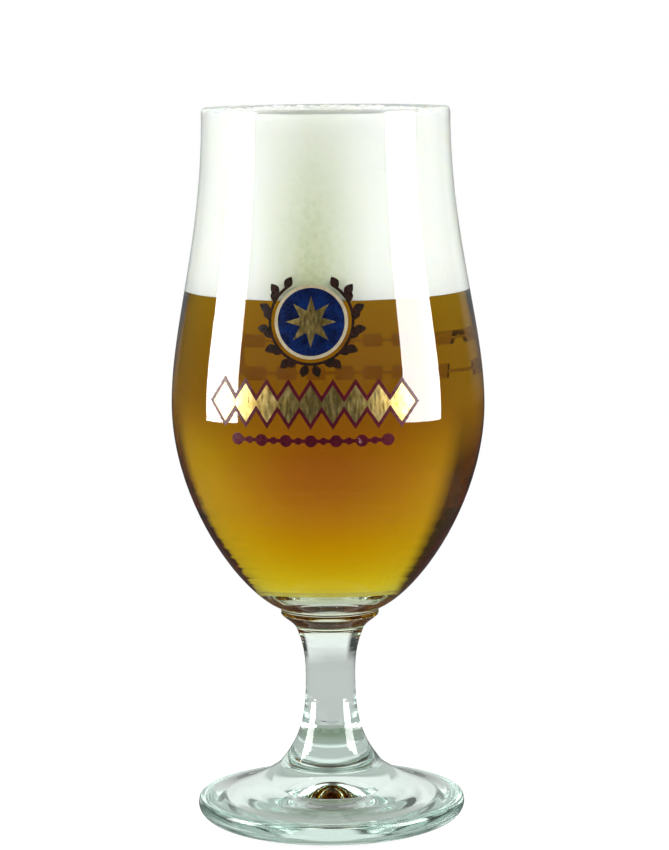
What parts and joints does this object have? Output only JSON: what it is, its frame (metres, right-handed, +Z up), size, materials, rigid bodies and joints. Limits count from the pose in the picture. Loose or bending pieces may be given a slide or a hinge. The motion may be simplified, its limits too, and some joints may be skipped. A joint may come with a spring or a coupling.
{
  "type": "tulip beer glass",
  "caption": "Stemmed tulip beer glass on a pressed foot, poured with amber beer under a tall head of foam, with a small enamel and gilt print on the bowl.",
  "frame": {"origin": "on the glass's axis, at the table it stands on", "axes": "+Z up along the glass's axis, -Y out of the front print towards the viewer, +X to the viewer's right"},
  "size_m": [0.08, 0.0802, 0.184],
  "materials": {
    "clear_glass": "clear soda-lime glass with a faint green cast, fire polished",
    "amber_beer": "clear amber liquid",
    "beer_foam": "fine dense off-white foam",
    "blue_enamel": "fired dark blue enamel",
    "gilding": "fired bright gold",
    "cream_enamel": "fired cream enamel",
    "leaf_enamel": "fired dark olive-brown enamel",
    "red_enamel": "fired dark red enamel",
    "brown_enamel": "fired brown enamel"
  },
  "bodies": {
    "root": {"bowl": "clear_glass", "collar": "clear_glass", "stem": "clear_glass", "foot": "clear_glass", "beer": "amber_beer", "foam_head": "beer_foam", "roundel_field": "blue_enamel", "roundel_star": "gilding", "roundel_ring": "cream_enamel", "leaf_wreath": "leaf_enamel", "lozenge_chain": "gilding", "chain_edging": "red_enamel", "thin_rule": "red_enamel", "back_border": "brown_enamel"}
  },
  "joints": []
}
